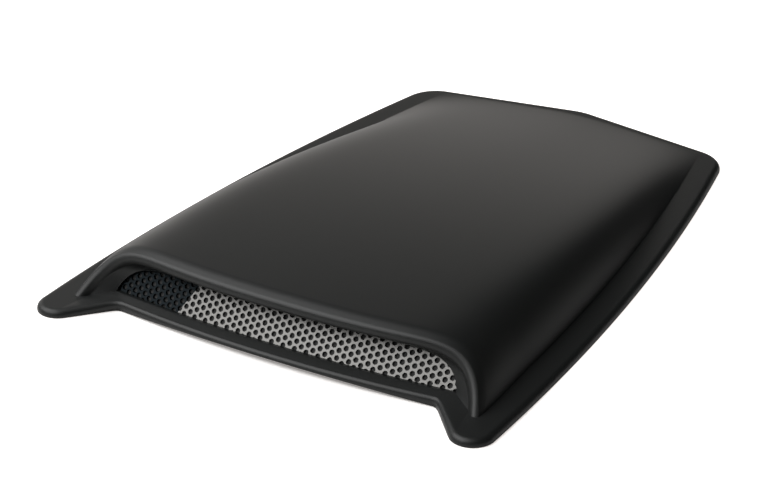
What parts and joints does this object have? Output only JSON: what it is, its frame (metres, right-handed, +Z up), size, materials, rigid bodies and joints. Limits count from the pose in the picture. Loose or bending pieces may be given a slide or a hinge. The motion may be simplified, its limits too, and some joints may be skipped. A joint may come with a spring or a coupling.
{
  "type": "bonnet scoop",
  "caption": "Low flat-topped bonnet scoop: a black moulded shell with a rolled brow, a wide mouth with a perforated metal grille, and a flat flange with mounting tape below.",
  "frame": {"origin": "middle of the rim's plan, on the plane that the rim stands on", "axes": "+X to the right seen from above with the mouth towards the viewer, +Y from the mouth to the rear point, +Z up off the bonnet"},
  "size_m": [0.5038, 0.6928, 0.06],
  "materials": {
    "shell_plastic": "satin black ABS",
    "grille_metal": "satin perforated sheet",
    "tape_foam": "closed-cell acrylic foam tape"
  },
  "bodies": {
    "root": {"scoop_shell": "shell_plastic", "grille": "grille_metal", "mounting_tape_left": "tape_foam", "mounting_tape_right": "tape_foam", "mounting_tape_rear_left": "tape_foam", "mounting_tape_rear_right": "tape_foam"}
  },
  "joints": []
}
